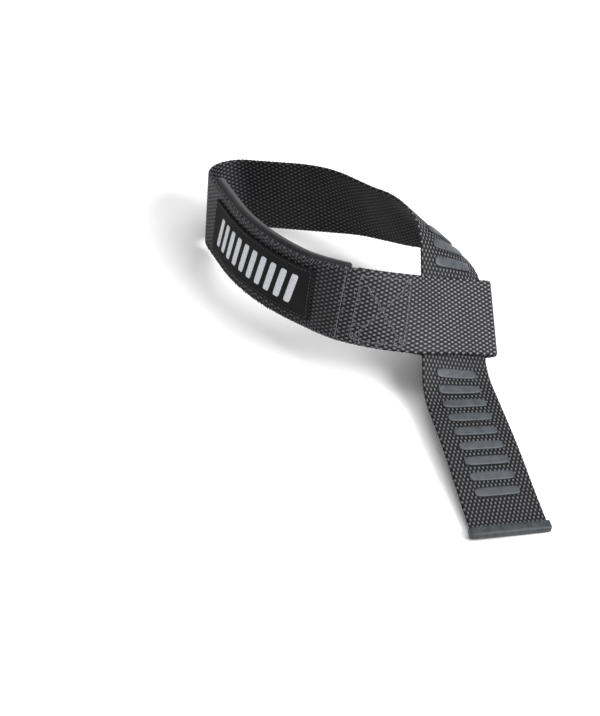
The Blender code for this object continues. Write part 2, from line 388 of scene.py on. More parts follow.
def noise(tree, vector, scale, detail=3.0, stretch=None):
    """Noise on a vector, which may first be stretched."""
    if stretch:
        mapping = tree.nodes.new("ShaderNodeMapping")
        mapping.inputs["Scale"].default_value = stretch
        tree.links.new(vector, mapping.inputs["Vector"])
        vector = mapping.outputs[0]
    node = tree.nodes.new("ShaderNodeTexNoise")
    node.inputs["Scale"].default_value = scale
    node.inputs["Detail"].default_value = detail
    tree.links.new(vector, node.inputs["Vector"])
    return node.outputs["Fac"]


def ramp(tree, value, stops):
    """Colours along a value: stops is a list of (place, colour)."""
    node = tree.nodes.new("ShaderNodeValToRGB")
    while len(node.color_ramp.elements) < len(stops):
        node.color_ramp.elements.new(0.5)
    for element, (place, colour) in zip(node.color_ramp.elements, stops):
        element.position = place
        element.color = (*colour, 1.0)
    tree.links.new(value, node.inputs[0])
    return node.outputs[0]


def bump(tree, shader, height, distance, strength):
    """Leans the shading normals by a height, for what is finer than the mesh."""
    node = tree.nodes.new("ShaderNodeBump")
    node.inputs["Distance"].default_value = distance
    node.inputs["Strength"].default_value = strength
    tree.links.new(height, node.inputs["Height"])
    tree.links.new(node.outputs[0], shader.inputs["Normal"])


# %% [markdown]
# ## The weave
# The webbing is a plain weave of thick yarn. Lengthways yarns lie side by side, and each goes over
# one crossways pick and under the next, with its neighbour doing the opposite. What the eye sees is
# a chessboard of crowns. The product of two waves, one along and one across, is such a chessboard:
# it is highest on every second crossing and lowest between. Powers of the two waves make the crowns
# short along the strap and wide across it, as thick yarn is. The same formula lifts the surface and
# drives the colour, so light crowns and raised crowns always agree.

# %% The chessboard of crowns
YARNS_ACROSS = 36
YARN_PITCH = STRAP_WIDTH / YARNS_ACROSS
PICK_PITCH = 2.13 * MM
CROWN_HEIGHT = 0.26 * MM
CROWN_SLIM = 1.5
CROWN_WIDE = 0.65


def weave(t, v):
    """cos(pi t / pick pitch) to the power 1.5 times sin(pi v / yarn pitch) to the power 0.65.

    Both powers are taken of the size and keep the sign: crowns get short along and wide across.
    """
    along, across = np.cos(math.pi * t / PICK_PITCH), np.sin(math.pi * v / YARN_PITCH)
    return np.sign(along * across) * np.abs(along) ** CROWN_SLIM * np.abs(across) ** CROWN_WIDE


def woven_waves(tree, along, across):
    """The two waves of the weave as nodes."""
    by_pick = calc(tree, "COSINE", times(tree, along, math.pi / PICK_PITCH))
    by_yarn = calc(tree, "SINE", times(tree, across, math.pi / YARN_PITCH))
    return by_pick, by_yarn


print("yarn pitch, mm:", round(YARN_PITCH / MM, 3), "picks:", round((STRAP_END + TAIL_LENGTH) / PICK_PITCH))

# %% [markdown]
# ## Webbing colour
# Charcoal yarn catches light only on its crowns, and the gaps between yarns are nearly black. So
# the colour is a ramp along the crown's height, roughened by noise for loose fibres, and a fine
# slanting wave in the bump for the twist of the yarn. The ramp's near-black is painted shade in the
# gaps, and its light top is partly painted light on the crowns. The cloth is also painted lighter and
# darker along the strap: painted light at the front of the small loop, painted shade inside the wrist
# loop. An attribute on the mesh carries that painted shading, because it follows the strap and not
# the world.

# %% Webbing material and painted shading
# The near-black low end of this ramp is painted shade in the gaps between yarns; its top is the yarn's
# charcoal, partly painted light on the crowns.
WEBBING_COLOURS_AND_GAP_SHADE = [
    (0.34, (0.0012, 0.0012, 0.0016)),
    (0.55, (0.010, 0.010, 0.0115)),
    (0.72, (0.055, 0.055, 0.061)),
    (0.98, (0.130, 0.132, 0.144)),
]
FIBRE_SCALE = 1400.0
FIBRE_SHARE = 0.34
PATCH_SCALE = 60.0
PATCH_SHARE = 0.10
TWIST_PER_METRE = 16000.0
TWIST_LEAN = 0.8

# Painted light and shade as factors on the webbing's colour: above 1 where light falls, such as the front
# of the small loop, below 1 where shade falls, such as inside the wrist loop.
OUTER_SHADING_PLACES = np.array([-TAIL_LENGTH / MM, 0.0, 60.0, 200.0, 240.0, 312.0, 324.0, 372.0]) * MM
OUTER_PAINTED_SHADING = [0.95, 0.95, 1.2, 0.9, 0.75, 0.62, 1.05, 1.45]
INNER_SHADING_PLACES = np.array([100.0, 150.0, 190.0, 215.0]) * MM
INNER_PAINTED_SHADING = [0.62, 0.5, 0.75, 1.35]


def painted_shading_of(t, side):
    """Painted light and shade: the listed factors, with straight lines between their places."""
    outer = np.interp(t, OUTER_SHADING_PLACES, OUTER_PAINTED_SHADING)
    inner = np.interp(t, INNER_SHADING_PLACES, INNER_PAINTED_SHADING)
    return np.where(side > 0, outer, inner)


def webbing_material():
    """Colour by crown height and painted shading, bump by crowns, yarn twist and fibres."""
    material, tree, shader = new_material("charcoal_webbing", roughness=0.55, specular=0.18)
    uv, along, across = flat_coordinates(tree)
    by_pick, by_yarn = woven_waves(tree, along, across)
    slim = calc(tree, "POWER", calc(tree, "ABSOLUTE", by_pick), CROWN_SLIM)
    wide = calc(tree, "POWER", calc(tree, "ABSOLUTE", by_yarn), CROWN_WIDE)
    sign = calc(tree, "SIGN", times(tree, by_pick, by_yarn))
    crown = times(tree, sign, times(tree, slim, wide))
    fibres = noise(tree, uv, FIBRE_SCALE, 4.0, (1.0, 3.0, 1.0))
    patches = noise(tree, uv, PATCH_SCALE, 2.0)
    mixed = calc(tree, "MULTIPLY_ADD", crown, 0.5, 0.5)
    mixed = plus(tree, mixed, calc(tree, "MULTIPLY_ADD", fibres, FIBRE_SHARE, -FIBRE_SHARE / 2))
    mixed = plus(tree, mixed, calc(tree, "MULTIPLY_ADD", patches, PATCH_SHARE, -PATCH_SHARE / 2))
    # The tone attribute is painted light and shade that scales the webbing's colour.
    tone = tree.nodes.new("ShaderNodeAttribute")
    tone.attribute_name = "tone"
    shaded = tree.nodes.new("ShaderNodeVectorMath")
    shaded.operation = "SCALE"
    tree.links.new(ramp(tree, mixed, WEBBING_COLOURS_AND_GAP_SHADE), shaded.inputs[0])
    tree.links.new(tone.outputs["Fac"], shaded.inputs["Scale"])
    tree.links.new(shaded.outputs[0], shader.inputs["Base Color"])
    slanted = plus(tree, along, times(tree, across, TWIST_LEAN))
    twist = calc(tree, "SINE", times(tree, slanted, TWIST_PER_METRE))
    height = plus(tree, crown, times(tree, twist, 0.12))
    height = plus(tree, height, times(tree, fibres, 0.5))
    bump(tree, shader, height, 0.10 * MM, 0.7)
    return material


WEBBING = webbing_material()
print("webbing material has", len(WEBBING.node_tree.nodes), "nodes")

# %% [markdown]
# ## Webbing pieces
# The strap is cut into three runs so that each mesh stays a sensible size: the tail with the
# diagonal turn, the wrist band, and the front with the small loop. Each is a closed tube that goes
# up the woven face, round the selvedge and back along the inner face. Along the two edges the picks
# turn back, which gives the selvedge its row of tiny scallops. A flat tube with a bump map would
# look alike from afar, but its outline would be smooth where real webbing's is toothed.

# %% Webbing in three runs
STEPS_PER_PICK = 4
SELVEDGE_SWELL = 0.14 * MM
SELVEDGE_THIN = 0.55
CROWN_SINK = 0.45
DIAGONAL_END = 36.21 * MM
BAND_END = 300.33 * MM


def webbing_run(name, first, last):
    """Height = level + half the crown height times the weave, less the edge's thinning.

    edge goes from 0 one yarn inside the selvedge to 1 on it. There the face sinks with its square
    and the outline swells by cos(2 pi t / pick pitch).
    """
    steps = int(round((last - first) / PICK_PITCH * STEPS_PER_PICK))
    t = np.linspace(first, last, steps + 1)[:, None]
    face_v = np.linspace(-HALF_WIDTH, HALF_WIDTH, 2 * YARNS_ACROSS + 1)
    v = np.concatenate([face_v, face_v[::-1]])[None, :]
    side = np.concatenate([np.ones(face_v.size), -np.ones(face_v.size)])[None, :]
    crown = weave(t, v) * side
    level = HALF_THICKNESS - CROWN_SINK * CROWN_HEIGHT
    edge = np.clip((np.abs(v) - HALF_WIDTH + YARN_PITCH) / YARN_PITCH, 0.0, 1.0)
    lift = level + 0.5 * CROWN_HEIGHT * crown - SELVEDGE_THIN * HALF_THICKNESS * edge**2
    scallop = SELVEDGE_SWELL * edge * np.sign(v) * np.cos(2 * math.pi * t / PICK_PITCH)
    points = lay_on(t, v + scallop, side * lift)
    uv = np.stack(np.broadcast_arrays(t, v * side), axis=-1)
    faces = tube_faces(*points.shape[:2])
    piece = make_piece(name, points, uv, faces, WEBBING, ["webbing_strap"])
    # The tone written here is painted light and shade along the strap.
    tone = piece.data.attributes.new("tone", "FLOAT", "POINT")
    tone.data.foreach_set("value", painted_shading_of(t + 0 * v, side + 0 * t).ravel().astype(np.float32))


webbing_run("webbing_tail", -TAIL_LENGTH, DIAGONAL_END)
webbing_run("webbing_band", DIAGONAL_END, BAND_END)
webbing_run("webbing_front", BAND_END, STRAP_END)

# %% [markdown]
# ## Wrist pad
# The pad is foam with a smooth knitted face, sewn inside the front band. It could be a box with
# a bevel, but foam under cloth has no flat side. So it is carried along the strap like the webbing,
# with a superellipse for its section: the power sets how square it is. A seam sinks its inner face
# near both edges, and its ends are rounded.

# %% Knitted face of the pad
KNIT_LOOP = 0.62 * MM
KNIT_ROW = 0.5 * MM
KNIT_COLOURS = [(0.30, (0.010, 0.010, 0.012)), (0.72, (0.030, 0.030, 0.033))]


def knit_material():
    """Two crossed waves for the knitted loops, noise for the fuzz and for broad wear."""
    material, tree, shader = new_material("pad_knit", roughness=0.8, specular=0.15)
    uv, along, across = flat_coordinates(tree)
    loops = times(tree, wave(tree, along, KNIT_LOOP), wave(tree, across, KNIT_ROW))
    fuzz = noise(tree, uv, 2600.0, 4.0)
    broad = noise(tree, uv, 90.0, 2.0)
    tone = plus(tree, times(tree, fuzz, 0.55), times(tree, broad, 0.45))
    tree.links.new(ramp(tree, tone, KNIT_COLOURS), shader.inputs["Base Color"])
    shader.inputs["Sheen Weight"].default_value = 0.25
    shader.inputs["Sheen Roughness"].default_value = 0.5
    bump(tree, shader, plus(tree, times(tree, loops, 0.4), times(tree, fuzz, 0.8)), 0.06 * MM, 0.6)
    return material


KNIT = knit_material()
print("knit loops across the pad:", round(STRAP_WIDTH / KNIT_ROW))

# %% Pad
PAD_LENGTH = 118.0 * MM
PAD_THICKNESS = 4.0 * MM
PAD_MARGIN = 1.5 * MM
PAD_END_GAP = 3.0 * MM
PAD_LAST = WRIST_LENGTH - SEWN_END - PAD_END_GAP
PAD_FIRST = PAD_LAST - PAD_LENGTH
PAD_HALF_WIDTH = HALF_WIDTH + PAD_MARGIN
PAD_SQUARENESS = 6.0
PAD_END_ROUND = 1.6 * MM
PAD_END_TUCK = 1.2 * MM
PAD_END_THIN = 0.25
PAD_SEAM_INSET = 4.0 * MM
PAD_SEAM_WIDTH = 1.1 * MM
PAD_SEAM_DEPTH = 0.7 * MM
PAD_CROWN = 0.35 * MM
PAD_SLACK = 0.1 * MM
PAD_ROWS = 181
PAD_COLUMNS = 96
END_CROWDING = 0.35


def superellipse(around, power):
    """cos and sin of the angle, each raised to 2 / power and given its sign back."""
    x, y = np.cos(around), np.sin(around)
    return np.sign(x) * np.abs(x) ** (2 / power), np.sign(y) * np.abs(y) ** (2 / power)


def ring_angles(count):
    """Equal angles round a section, the first half a step past zero."""
    return np.linspace(0, 2 * math.pi, count, endpoint=False) + math.pi / count


def wrist_pad():
    """A superellipse section, full along the pad and drawn in over a quarter circle at its ends."""
    along = np.linspace(0.0, 1.0, PAD_ROWS)
    share = END_CROWDING * (0.5 - 0.5 * np.cos(math.pi * along)) + (1 - END_CROWDING) * along
    t = (PAD_FIRST + PAD_LENGTH * share)[:, None]
    to_end = np.clip(np.minimum(t - PAD_FIRST, PAD_LAST - t) / PAD_END_ROUND, 0.0, 1.0)
    end = np.sqrt(np.clip(1 - (1 - to_end) ** 2, 0.0, 1.0))
    x, y = superellipse(ring_angles(PAD_COLUMNS)[None, :], PAD_SQUARENESS)
    v = x * (PAD_HALF_WIDTH - PAD_END_TUCK * (1 - end))
    from_seam = np.abs(v) - PAD_HALF_WIDTH + PAD_SEAM_INSET
    sink = PAD_SEAM_DEPTH * np.exp(-((from_seam / PAD_SEAM_WIDTH) ** 2)) * (y < 0)
    crown = PAD_CROWN * np.cos(math.pi * v / STRAP_WIDTH) * (y < 0)
    half = PAD_THICKNESS / 2 * (PAD_END_THIN + (1 - PAD_END_THIN) * end) - 2 * PAD_SLACK
    m = -FACE_SEAT - PAD_THICKNESS / 2 + PAD_SLACK + y * half + sink - crown
    uv = np.stack(np.broadcast_arrays(t, v), axis=-1)
    points = lay_on(t, v, m)
    faces = tube_faces(*points.shape[:2])
    return make_piece("wrist_pad_foam", points, uv, faces, KNIT, ["wrist_pad"])


pad = wrist_pad()

# %% [markdown]
# ## Label patch
# The patch is a stiff woven label, sewn down inside its edge. Its face is a fine twill, whose ribs
# are waves in the sum of along and across. The cloth is folded under, so the slab's edge is round,
# and the seam pulls a shallow groove all round. Both come from one value, the distance to the
# nearest edge, which needs no bevel and keeps the grid even.

# %% Twill
TWILL_RIB = 0.55 * MM
TWILL_CROSS = 0.4 * MM
LABEL_DARK = (0.0030, 0.0030, 0.0036)
LABEL_LIGHT = (0.010, 0.010, 0.0115)


def twill_material():
    """Fine diagonal ribs: a wave of along plus across, crossed by a fainter one."""
    material, tree, shader = new_material("label_twill", roughness=0.8, specular=0.12)
    uv, along, across = flat_coordinates(tree)
    rib = wave(tree, plus(tree, along, across), TWILL_RIB)
    cross = wave(tree, calc(tree, "SUBTRACT", along, across), TWILL_CROSS)
    grain = noise(tree, uv, 1800.0, 3.0)
    broad = noise(tree, uv, 70.0, 2.0)
    tone = plus(tree, calc(tree, "MULTIPLY_ADD", rib, 0.12, 0.1), times(tree, grain, 0.4))
    tone = plus(tree, tone, times(tree, broad, 0.4))
    colour = ramp(tree, tone, [(0.25, LABEL_DARK), (0.8, LABEL_LIGHT)])
    tree.links.new(colour, shader.inputs["Base Color"])
    height = plus(tree, times(tree, rib, 0.5), times(tree, cross, 0.25))
    bump(tree, shader, plus(tree, height, grain), 0.04 * MM, 0.6)
    return material


TWILL = twill_material()
print("twill ribs per centimetre:", round(10 * MM / TWILL_RIB))

# %% Label
LABEL_LENGTH = 88.0 * MM
LABEL_HEIGHT = 28.0 * MM
LABEL_THICKNESS = 1.0 * MM
LABEL_END_GAP = 17.5 * MM
LABEL_LAST = PAD_LAST - LABEL_END_GAP
LABEL_FIRST = LABEL_LAST - LABEL_LENGTH
LABEL_TOP = FACE_SEAT + LABEL_THICKNESS
LABEL_EDGE_ROUND = 0.45 * MM
LABEL_SEAM_INSET = 1.4 * MM
LABEL_SEAM_WIDTH = 0.35 * MM
LABEL_SEAM_DEPTH = 0.28 * MM
LABEL_ROWS = 261
LABEL_COLUMNS = 75
LABEL_ROW_CROWDING = 1.3
LABEL_COLUMN_CROWDING = 1.6


def crowded(share, power):
    """Moves shares between -1 and 1 towards both ends: 1 minus (1 - size) to the power."""
    return np.sign(share) * (1 - (1 - np.abs(share)) ** power)


def label_slab():
    """near = distance to the nearest edge, held at the edge's radius.

    Height = top - radius + root of (radius squared - (radius - near) squared), less the groove of
    the seam, which is a bell round its distance from the edge.
    """
    middle, half_length, half_height = (LABEL_FIRST + LABEL_LAST) / 2, LABEL_LENGTH / 2, LABEL_HEIGHT / 2
    t = middle + half_length * crowded(np.linspace(-1, 1, LABEL_ROWS), LABEL_ROW_CROWDING)[:, None]
    v = half_height * crowded(np.linspace(-1, 1, LABEL_COLUMNS), LABEL_COLUMN_CROWDING)[None, :]
    t, v = np.broadcast_arrays(t, v)
    from_edge = np.minimum(half_length - np.abs(t - middle), half_height - np.abs(v))
    short_of = LABEL_EDGE_ROUND - np.clip(from_edge, 0.0, LABEL_EDGE_ROUND)
    round_edge = np.sqrt(np.clip(LABEL_EDGE_ROUND**2 - short_of**2, 0.0, None))
    groove = LABEL_SEAM_DEPTH * np.exp(-(((from_edge - LABEL_SEAM_INSET) / LABEL_SEAM_WIDTH) ** 2))
    upper = lay_on(t, v, LABEL_TOP - LABEL_EDGE_ROUND + round_edge - groove)
    lower = lay_on(t, v, FACE_SEAT + 0 * v)
    points = np.concatenate([upper, lower[:, ::-1]], axis=1)
    uv = np.stack([np.hstack([t, t[:, ::-1]]), np.hstack([v, v[:, ::-1]])], axis=-1)
    faces = tube_faces(LABEL_ROWS, 2 * LABEL_COLUMNS)
    return make_piece("label_cloth", points, uv, faces, TWILL, ["label_patch"])


label_slab()

# %% [markdown]
# ## Print on the label
# A plain row of slanted bars in light grey print sits on the patch. Print on cloth is a skin with
# soft edges that stands a hair above the weave. Bars could be cut as flat rectangles, but a skin
# has round corners and a fading shoulder. So each bar is rings of a squared superellipse that
# shrink towards the top and close below, and all bars are one array.

# %% Slanted bars
PRINT_HEIGHT = 17.0 * MM
PRINT_LENGTH = 72.0 * MM
PRINT_BARS = 10
PRINT_LEAN = 0.28
PRINT_FILL = 0.55
PRINT_THICKNESS = 0.16 * MM
PRINT_SQUARENESS = 7.0
PRINT_COLUMNS = 36
PRINT_RINGS = np.array([0.1, 0.55, 0.86, 1.0, 1.0, 0.5, 0.1])
PRINT_RISE = np.array([1.0, 1.0, 0.95, 0.55, -1.5, -1.5, -1.5])
PRINT_COLOURS = [(0.32, (0.40, 0.41, 0.44)), (0.62, (0.56, 0.575, 0.61))]


def print_material():
    """Light print whose cover is uneven, by one noise for colour and bump."""
    material, tree, shader = new_material("label_print", roughness=0.55, specular=0.4)
    uv, along, across = flat_coordinates(tree)
    grain = noise(tree, uv, 900.0, 4.0)
    tree.links.new(ramp(tree, grain, PRINT_COLOURS), shader.inputs["Base Color"])
    bump(tree, shader, grain, 0.05 * MM, 0.5)
    return material


def label_print():
    """Bars at equal pitch, each a squared superellipse leant over by its height."""
    pitch = PRINT_LENGTH / PRINT_BARS
    first = (LABEL_FIRST + LABEL_LAST - PRINT_LENGTH) / 2
    centre = (first + pitch * (np.arange(PRINT_BARS) + 0.5))[:, None, None]
    around = np.linspace(0, 2 * math.pi, PRINT_COLUMNS, endpoint=False)[None, None, :]
    x, y = superellipse(around, PRINT_SQUARENESS)
    ring, rise = PRINT_RINGS[None, :, None], PRINT_RISE[None, :, None]
    v = ring * y * PRINT_HEIGHT / 2
    t = centre + ring * x * pitch * PRINT_FILL / 2 + PRINT_LEAN * v
    t, v, m = np.broadcast_arrays(t, v, LABEL_TOP + rise * PRINT_THICKNESS)
    rings = PRINT_RINGS.size
    faces = repeat_faces(tube_faces(rings, PRINT_COLUMNS), PRINT_BARS, rings * PRINT_COLUMNS)
    uv = np.stack([t, v], axis=-1)
    return make_piece("label_print_bars", lay_on(t, v, m), uv, faces, print_material())


label_print()

# %% [markdown]
# ## Grip bars
# Liquid silicone is printed on the tail and cures proud of the webbing, with soft shoulders and a
# satin face. A sheet cut to size would have a sharp rim. So these too are rings of a superellipse,
# with a rounded rise from the webbing to the face. They stand in the places of the solid bars,
# which the small loop interrupts.

# %% Silicone
SILICONE_COLOURS = [(0.3, (0.036, 0.041, 0.047)), (0.7, (0.060, 0.067, 0.075))]
DIPPED_COLOURS = [(0.3, (0.022, 0.025, 0.028)), (0.7, (0.046, 0.050, 0.054))]


def silicone_material():
    """Cloudy blue-grey, with tiny pits that also vary how rough it is."""
    material, tree, shader = new_material("grip_silicone", roughness=0.42, specular=0.3)
    uv, along, across = flat_coordinates(tree)
    cloudy = noise(tree, uv, 240.0, 4.0)
    pits = noise(tree, uv, 1500.0, 3.0)
    tree.links.new(ramp(tree, cloudy, SILICONE_COLOURS), shader.inputs["Base Color"])
    tree.links.new(calc(tree, "MULTIPLY_ADD", pits, 0.25, 0.32), shader.inputs["Roughness"])
    bump(tree, shader, plus(tree, cloudy, times(tree, pits, 0.4)), 0.08 * MM, 0.5)
    return material


SILICONE = silicone_material()
print("silicone material has", len(SILICONE.node_tree.nodes), "nodes")

# %% Silicone bars
BAR_LENGTH = 5.2 * MM
BAR_HEIGHT = 22.5 * MM
BAR_THICKNESS = 0.7 * MM
BAR_PITCH = 9.4 * MM
BAR_FROM_TIP = 20.0 * MM
BAR_LAST = 60.0 * MM
BAR_LOOP_CLEARANCE = 4.0 * MM
BAR_SQUARENESS = 4.5
BAR_COLUMNS = 64
BAR_RINGS = np.array([0.1, 0.45, 0.75, 0.90, 0.97, 1.0, 1.0, 0.5, 0.1])[:, None]
BAR_RISE = np.array([1.0, 1.0, 0.98, 0.86, 0.62, 0.25, -0.55, -0.55, -0.55])[:, None]


def bar_centres():
    """The places of the bars that the small loop leaves free."""
    count = int((TAIL_LENGTH - BAR_FROM_TIP + BAR_LAST) / BAR_PITCH)
    centres = BAR_FROM_TIP - TAIL_LENGTH + BAR_LENGTH / 2 + BAR_PITCH * np.arange(count)
    return centres[np.abs(centres) >= HALF_WIDTH + BAR_LOOP_CLEARANCE + BAR_LENGTH / 2]


def grip_bars():
    """Each ring is a superellipse at its share of the bar's size, at its share of the thickness."""
    around = np.linspace(0, 2 * math.pi, BAR_COLUMNS, endpoint=False)[None, :]
    x, y = superellipse(around, BAR_SQUARENESS)
    faces = tube_faces(BAR_RINGS.size, BAR_COLUMNS)
    for number, centre in enumerate(bar_centres(), start=1):
        t, v = centre + BAR_RINGS * x * BAR_LENGTH / 2, BAR_RINGS * y * BAR_HEIGHT / 2
        points, uv = lay_on(t, v, FACE_SEAT + BAR_RISE * BAR_THICKNESS), np.stack([t, v], axis=-1)
        solid = f"grip_bar_{number:02d}"
        make_piece(f"silicone_bar_{number:02d}", points, uv, faces, SILICONE, [solid])


grip_bars()

# %% [markdown]
# ## Tip cap
# The cut end of the tail is dipped, so that it doesn't fray. The dip is a thin, slightly shiny skin,
# a little wider than the webbing and rounded at its corners. It could be the webbing's own end with
# another colour, but the skin has a rim that shows. So rings run from the pocket's floor out over
# the rim and along the outside to the tip. The skin follows the weave under it, faintly, and has
# tiny bubbles, both of which the bump gives.

# %% Dipped skin
CAP_LENGTH = 5.5 * MM
CAP_WALL = 0.8 * MM
CAP_MARGIN = 1.0 * MM
CAP_CORNER = 1.6 * MM
CAP_TIP = -TAIL_LENGTH - SEAT_GAP - CAP_WALL - CAP_CORNER
CAP_SQUARENESS = 9.0
CAP_COLUMNS = 120
CAP_LIP = 0.2 * MM
CAP_RIM_ROUND = 0.3 * MM
CAP_RIM_BODY = 1.0 * MM
TIP_STEPS = 7
TIP_BLUNT = 0.35


def dipped_material():
    """Smeared colour and gloss, the weave showing through and bubbles."""
    material, tree, shader = new_material("dipped_tip", roughness=0.4, specular=0.2)
    uv, along, across = flat_coordinates(tree)
    smear = noise(tree, uv, 300.0, 4.0)
    bubbles = noise(tree, uv, 1300.0, 2.0)
    tree.links.new(ramp(tree, smear, DIPPED_COLOURS), shader.inputs["Base Color"])
    tree.links.new(calc(tree, "MULTIPLY_ADD", smear, 0.3, 0.3), shader.inputs["Roughness"])
    crowns = times(tree, *woven_waves(tree, along, across))
    height = calc(tree, "MULTIPLY_ADD", crowns, 0.25, smear)
    bump(tree, shader, plus(tree, height, times(tree, bubbles, 0.6)), 0.15 * MM, 0.6)
    return material


def tip_cap():
    """Along the tip's quarter circle: t = tip + corner (1 - sin), half height = blunt + rest cos."""
    room, rim, wide = FACE_SEAT, CAP_TIP + CAP_LENGTH, HALF_WIDTH + CAP_MARGIN
    tip = np.linspace(0, math.pi / 2, TIP_STEPS)
    pocket_t = [CAP_TIP + CAP_WALL + CAP_CORNER, rim - CAP_LIP]
    body_t = np.linspace(rim - CAP_RIM_BODY, CAP_TIP + CAP_CORNER, 5)[:-1]
    tip_t = CAP_TIP + CAP_CORNER * (1 - np.sin(tip))
    t = np.concatenate([pocket_t, [rim, rim - CAP_RIM_ROUND], body_t, tip_t])[:, None]
    body_m = [room + 0.45 * CAP_WALL, room + 0.9 * CAP_WALL] + [room + CAP_WALL] * 4
    tip_m = room * TIP_BLUNT + (room * (1 - TIP_BLUNT) + CAP_WALL) * np.cos(tip)
    half_m = np.concatenate([[room, room], body_m, tip_m])[:, None]
    body_v = [wide - 2 * CAP_LIP, wide - CAP_LIP / 2] + [wide] * 4
    tip_v = wide - CAP_CORNER * (1 - np.cos(tip))
    half_v = np.concatenate([[HALF_WIDTH + SEAT_GAP] * 2, body_v, tip_v])[:, None]
    x, y = superellipse(ring_angles(CAP_COLUMNS)[None, :], CAP_SQUARENESS)
    points = lay_on(t, half_v * x, half_m * y)
    uv = np.stack(np.broadcast_arrays(t, half_v * x), axis=-1)
    faces = tube_faces(*points.shape[:2])
    return make_piece("dipped_tip_cap", points, uv, faces, dipped_material(), ["tip_cap"])


tip_cap()

# %% [markdown]
# ## Thread
# Every seam is a run of real stitches. Drawn as a dashed line in the material they would lie dead
# flat. One stitch is a short tube that rises out of the cloth, runs along it and dives back, which
# half a sine wave describes. All stitches of a seam are one array: its axes are the stitch, the
# place along it and the place round the thread. A stitch has only a few dozen faces, because there
# are hundreds.

# %% Stitches
THREAD_RADIUS = 0.24 * MM
STITCH_ROWS = 9
STITCH_COLUMNS = 8
END_THIN = 0.35
END_SINK = 1.6
PLY_ALONG = 9000.0
PLY_ACROSS = 6000.0


def thread_material(name, low, high):
    """Twisted thread: slanted light and dark bands along each stitch, from its own UV map."""
    material, tree, shader = new_material(name, roughness=0.5, specular=0.5)
    uv, along, across = flat_coordinates(tree)
    slant = plus(tree, times(tree, along, PLY_ALONG), times(tree, across, PLY_ACROSS))
    ply = calc(tree, "SINE", slant)
    hair = noise(tree, uv, 2500.0, 2.0)
    tone = plus(tree, calc(tree, "MULTIPLY_ADD", ply, 0.25, 0.25), times(tree, hair, 0.5))
    tree.links.new(ramp(tree, tone, [(0.2, low), (0.8, high)]), shader.inputs["Base Color"])
    bump(tree, shader, tone, 0.05 * MM, 0.6)
    return material


def stitches(name, t, v, angle, length, seat, material, slot, radius=THREAD_RADIUS, arch=1.0):
    """Tubes centred at (t, v), each turned by its angle to the strap's length, on the face at seat.

    Along a tube a goes from -1 to 1: its height is arch radii times cos(pi a / 2), less a sinking
    of a to the sixth power that takes both ends into the cloth.
    """
    a = np.linspace(-1, 1, STITCH_ROWS)[None, :, None]
    ring = np.linspace(0, 2 * math.pi, STITCH_COLUMNS, endpoint=False)[None, None, :]
    t, v, angle = (np.asarray(x, float)[:, None, None] for x in (t, v, angle))
    run = a * length / 2
    thick = radius * (1 - END_THIN * a**4)
    sideways = thick * np.cos(ring)
    height = radius * (arch * np.cos(math.pi * a / 2) - END_SINK * a**6) + thick * np.sin(ring)
    along = t + run * np.cos(angle) - sideways * np.sin(angle)
    across = v + run * np.sin(angle) + sideways * np.cos(angle)
    points = lay_on(along, across, seat + height)
    one_uv = np.stack(np.broadcast_arrays(run, radius * ring), axis=-1)
    uv = np.broadcast_to(one_uv, (*points.shape[:3], 2))
    one = tube_faces(STITCH_ROWS, STITCH_COLUMNS)
    faces = repeat_faces(one, points.shape[0], STITCH_ROWS * STITCH_COLUMNS)
    return make_piece(name, points, uv, faces, material)


GREY_THREAD = thread_material("grey_thread", (0.020, 0.020, 0.023), (0.150, 0.155, 0.165))
DARK_THREAD = thread_material("dark_thread", (0.006, 0.006, 0.007), (0.024, 0.024, 0.027))
WHIP_THREAD = thread_material("whip_thread", (0.008, 0.008, 0.009), (0.085, 0.087, 0.094))
print("faces in one stitch:", len(tube_faces(STITCH_ROWS, STITCH_COLUMNS)))


# %% Straight seams
def stitch_line(start, end, pitch):
    """Centres and angle of the stitches along a straight seam from start to end, both (t, v)."""
    start, end = np.array(start, float), np.array(end, float)
    count = max(1, int(round(np.linalg.norm(end - start) / pitch)))
    share = (np.arange(count) + 0.5) / count
    centres = start + share[:, None] * (end - start)
    angle = math.atan2(*(end - start)[::-1])
    return centres[:, 0], centres[:, 1], np.full(count, angle)


def seam(name, lines, pitch, fill, seat, material, slot, arch):
    """One piece for several straight seams."""
    runs = [stitch_line(start, end, pitch) for start, end in lines]
    t, v, angle = (np.concatenate(parts) for parts in zip(*runs))
    return stitches(name, t, v, angle, pitch * fill, seat, material, slot, arch=arch)


def sides_of(first, last, half):
    """The four corners of a rectangle on the strap, and its four sides."""
    corners = [(first, -half), (last, -half), (last, half), (first, half)]
    return corners, [(corners[i], corners[(i + 1) % 4]) for i in range(4)]


print("stitches across the strap:", stitch_line((0, -HALF_WIDTH), (0, HALF_WIDTH), 2.6 * MM)[0].size)

# %% [markdown]
# ## Seams
# The end of the strap is sewn back on itself with a box and a cross, which is what carries the
# load. One more line closes the pad's end, and the label is sewn all round, just inside its edge,
# with dark thread that hardly shows.

# %% Box and cross, pad end and label seam
FACE = HALF_THICKNESS - 0.05 * MM
BOX_FIRST = WRIST_LENGTH - SEWN_END + 1.8 * MM
BOX_LAST = WRIST_LENGTH - FOLD_REACH - LEAD_LENGTH + 1.0 * MM
BOX_HALF = 16.0 * MM
BOX_PITCH = 2.6 * MM
PAD_STITCH = PAD_LAST - 2.4 * MM
PAD_STITCH_HALF = HALF_WIDTH - 1.5 * MM
PAD_STITCH_PITCH = 2.4 * MM
LABEL_PITCH = 2.0 * MM

